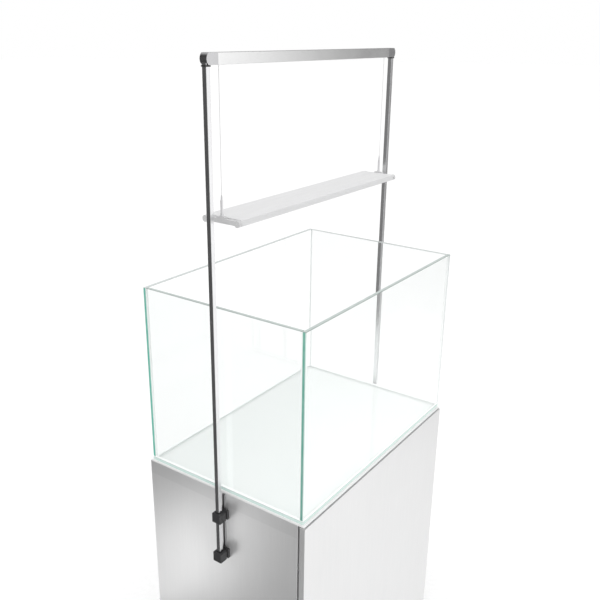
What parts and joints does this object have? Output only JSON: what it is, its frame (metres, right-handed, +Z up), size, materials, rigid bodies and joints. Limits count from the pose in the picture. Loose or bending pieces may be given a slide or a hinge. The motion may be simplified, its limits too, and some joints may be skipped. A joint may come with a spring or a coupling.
{
  "type": "aquarium on cabinet with light stand",
  "caption": "Rimless glass tank on a silver board cabinet with one front door, a square-tube light stand clamped to its sides and a bar lamp hung on adjustable wires.",
  "frame": {"origin": "on the floor under the middle of the cabinet's box", "axes": "+X along the tank to the right, -Y the front with the door, +Z up"},
  "size_m": [0.988, 0.62, 2.236],
  "materials": {
    "silver_board": "board with satin metallic silver-grey lacquer",
    "door_board": "board with pale silver-grey satin lacquer",
    "white_board": "thin white compact laminate",
    "inner_board": "pale grey melamine board",
    "zinc": "die-cast zinc",
    "steel": "plated steel",
    "beech": "raw beech",
    "brass": "turned brass",
    "nylon": "natural nylon",
    "clear_rubber": "clear soft rubber",
    "latch_plastic": "light grey moulded plastic",
    "foam_mat": "thin white closed-cell foam",
    "glass": "polished clear float glass with a green edge",
    "silicone": "clear silicone",
    "rail_aluminium": "satin anodised",
    "black_block": "black satin anodised",
    "black_steel": "black oxide",
    "post_aluminium": "satin anodised, drawn along its length",
    "black_plastic": "black moulded",
    "connector_aluminium": "satin anodised casting",
    "bar_aluminium": "satin anodised",
    "wire_steel": "fine steel cable",
    "bright_metal": "bright plated",
    "lamp_silver": "pale satin anodised",
    "lamp_cap_silver": "pale satin casting",
    "circuit_board": "white solder mask",
    "led_face": "light-emitting package",
    "lamp_lens": "clear acrylic",
    "socket_plastic": "black moulded"
  },
  "bodies": {
    "cabinet": {"cabinet_side_left": "silver_board", "cabinet_side_right": "silver_board", "cabinet_top_board": "white_board", "cabinet_top_panel": "inner_board", "cabinet_bottom_panel": "inner_board", "cabinet_centre_panel": "inner_board", "cabinet_back_panel": "inner_board", "cabinet_back_rail": "inner_board", "cabinet_plinth_front": "inner_board", "cabinet_plinth_back": "inner_board", "cam_locks": "zinc", "cam_bolts": "steel", "dowels": "beech", "pivot_plates": "steel", "pivot_pins": "steel", "pivot_washer": "nylon", "pivot_screws": "steel", "door_bumpers": "clear_rubber", "latch_housing": "latch_plastic", "latch_screws": "zinc", "tank_mat": "foam_mat", "tank_bottom_pane": "glass", "tank_front_pane": "glass", "tank_back_pane": "glass", "tank_left_pane": "glass", "tank_right_pane": "glass", "tank_seams": "silicone", "side_rails": "rail_aluminium", "upper_brackets": "black_block", "lower_brackets": "black_block", "bracket_screws": "steel", "clamp_screws": "black_steel"},
    "door": {"door_panel": "door_board", "door_bushes": "brass", "door_striker": "steel"},
    "latch_plunger": {"latch_plunger": "nylon"},
    "light_frame": {"post_left": "post_aluminium", "post_right": "post_aluminium", "post_plugs": "black_plastic", "post_collars": "black_plastic", "corner_connectors": "connector_aluminium", "connector_screws": "black_steel", "crossbar": "bar_aluminium", "wire_anchors": "bright_metal"},
    "lamp_hanger": {"wire_left": "wire_steel", "wire_right": "wire_steel", "wire_balls": "wire_steel"},
    "lamp": {"lamp_body": "lamp_silver", "lamp_end_caps": "lamp_cap_silver", "lamp_cap_screws": "bright_metal", "led_board": "circuit_board", "leds": "led_face", "lamp_lens": "lamp_lens", "power_inlet": "socket_plastic", "grippers": "bright_metal", "gripper_balls": "brass"},
    "release_left": {"release_sleeve_left": "bright_metal"},
    "release_right": {"release_sleeve_right": "bright_metal"}
  },
  "joints": [
    {"name": "door_hinge", "type": "hinge", "parent": "cabinet", "child": "door", "pos_m": [0.445, -0.3, 0], "axis": [0, 0, 1], "range_deg": [0, 90]},
    {"name": "latch_push", "type": "slide", "parent": "cabinet", "child": "latch_plunger", "axis": [0, 1, 0], "range_m": [0, 0.003], "stiffness_N_per_m": 150, "springref_m": -0.005},
    {"name": "frame_height", "type": "slide", "parent": "cabinet", "child": "light_frame", "axis": [0, 0, 1], "range_m": [0, 0.02]},
    {"name": "lamp_swing", "type": "hinge", "parent": "light_frame", "child": "lamp_hanger", "pos_m": [0, -0.006, 2.2072], "axis": [1, 0, 0], "range_deg": [-8, 8]},
    {"name": "lamp_height", "type": "slide", "parent": "lamp_hanger", "child": "lamp", "axis": [0, 0, 1], "range_m": [0, 0.3], "deforming": ["wire_left", "wire_right"]},
    {"name": "release_left", "type": "slide", "parent": "lamp", "child": "release_left", "axis": [0, 0, -1], "range_m": [0, 0.0025], "stiffness_N_per_m": 200, "springref_m": -0.005},
    {"name": "release_right", "type": "slide", "parent": "lamp", "child": "release_right", "axis": [0, 0, -1], "range_m": [0, 0.0025], "stiffness_N_per_m": 200, "springref_m": -0.005}
  ]
}
